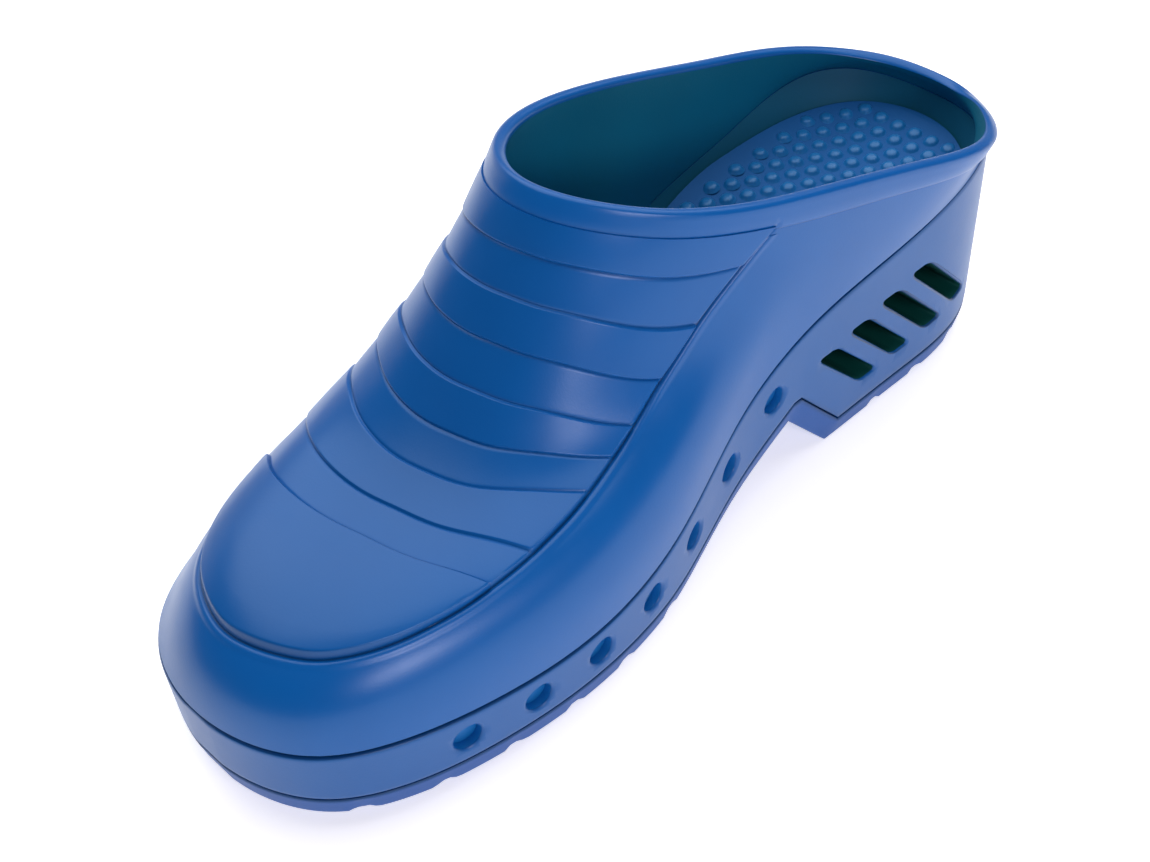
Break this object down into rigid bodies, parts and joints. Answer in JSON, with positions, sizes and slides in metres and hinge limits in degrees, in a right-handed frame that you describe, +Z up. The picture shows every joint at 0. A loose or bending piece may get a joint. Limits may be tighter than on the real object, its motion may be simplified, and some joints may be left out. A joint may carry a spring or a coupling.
{
  "type": "work clog",
  "caption": "Closed-toe, closed-heel work clog with a stepped vamp, a rounded collar rim, side vent rows, slanted heel slots and a lugged sole.",
  "frame": {"origin": "middle of the shoe's bounding box, on the ground it stands on", "axes": "+Z up, -Y to the toe, +X to the outer (lateral) side of this left shoe"},
  "size_m": [0.1034, 0.2916, 0.1195],
  "materials": {
    "upper_elastomer": "smooth satin injection-moulded elastomer",
    "sole_elastomer": "smooth satin injection-moulded elastomer",
    "tread_elastomer": "matt moulded elastomer tread",
    "footbed_elastomer": "matt moulded footbed with raised nubs"
  },
  "bodies": {
    "root": {"upper": "upper_elastomer", "midsole": "sole_elastomer", "outsole": "tread_elastomer", "insole": "footbed_elastomer"}
  },
  "joints": []
}
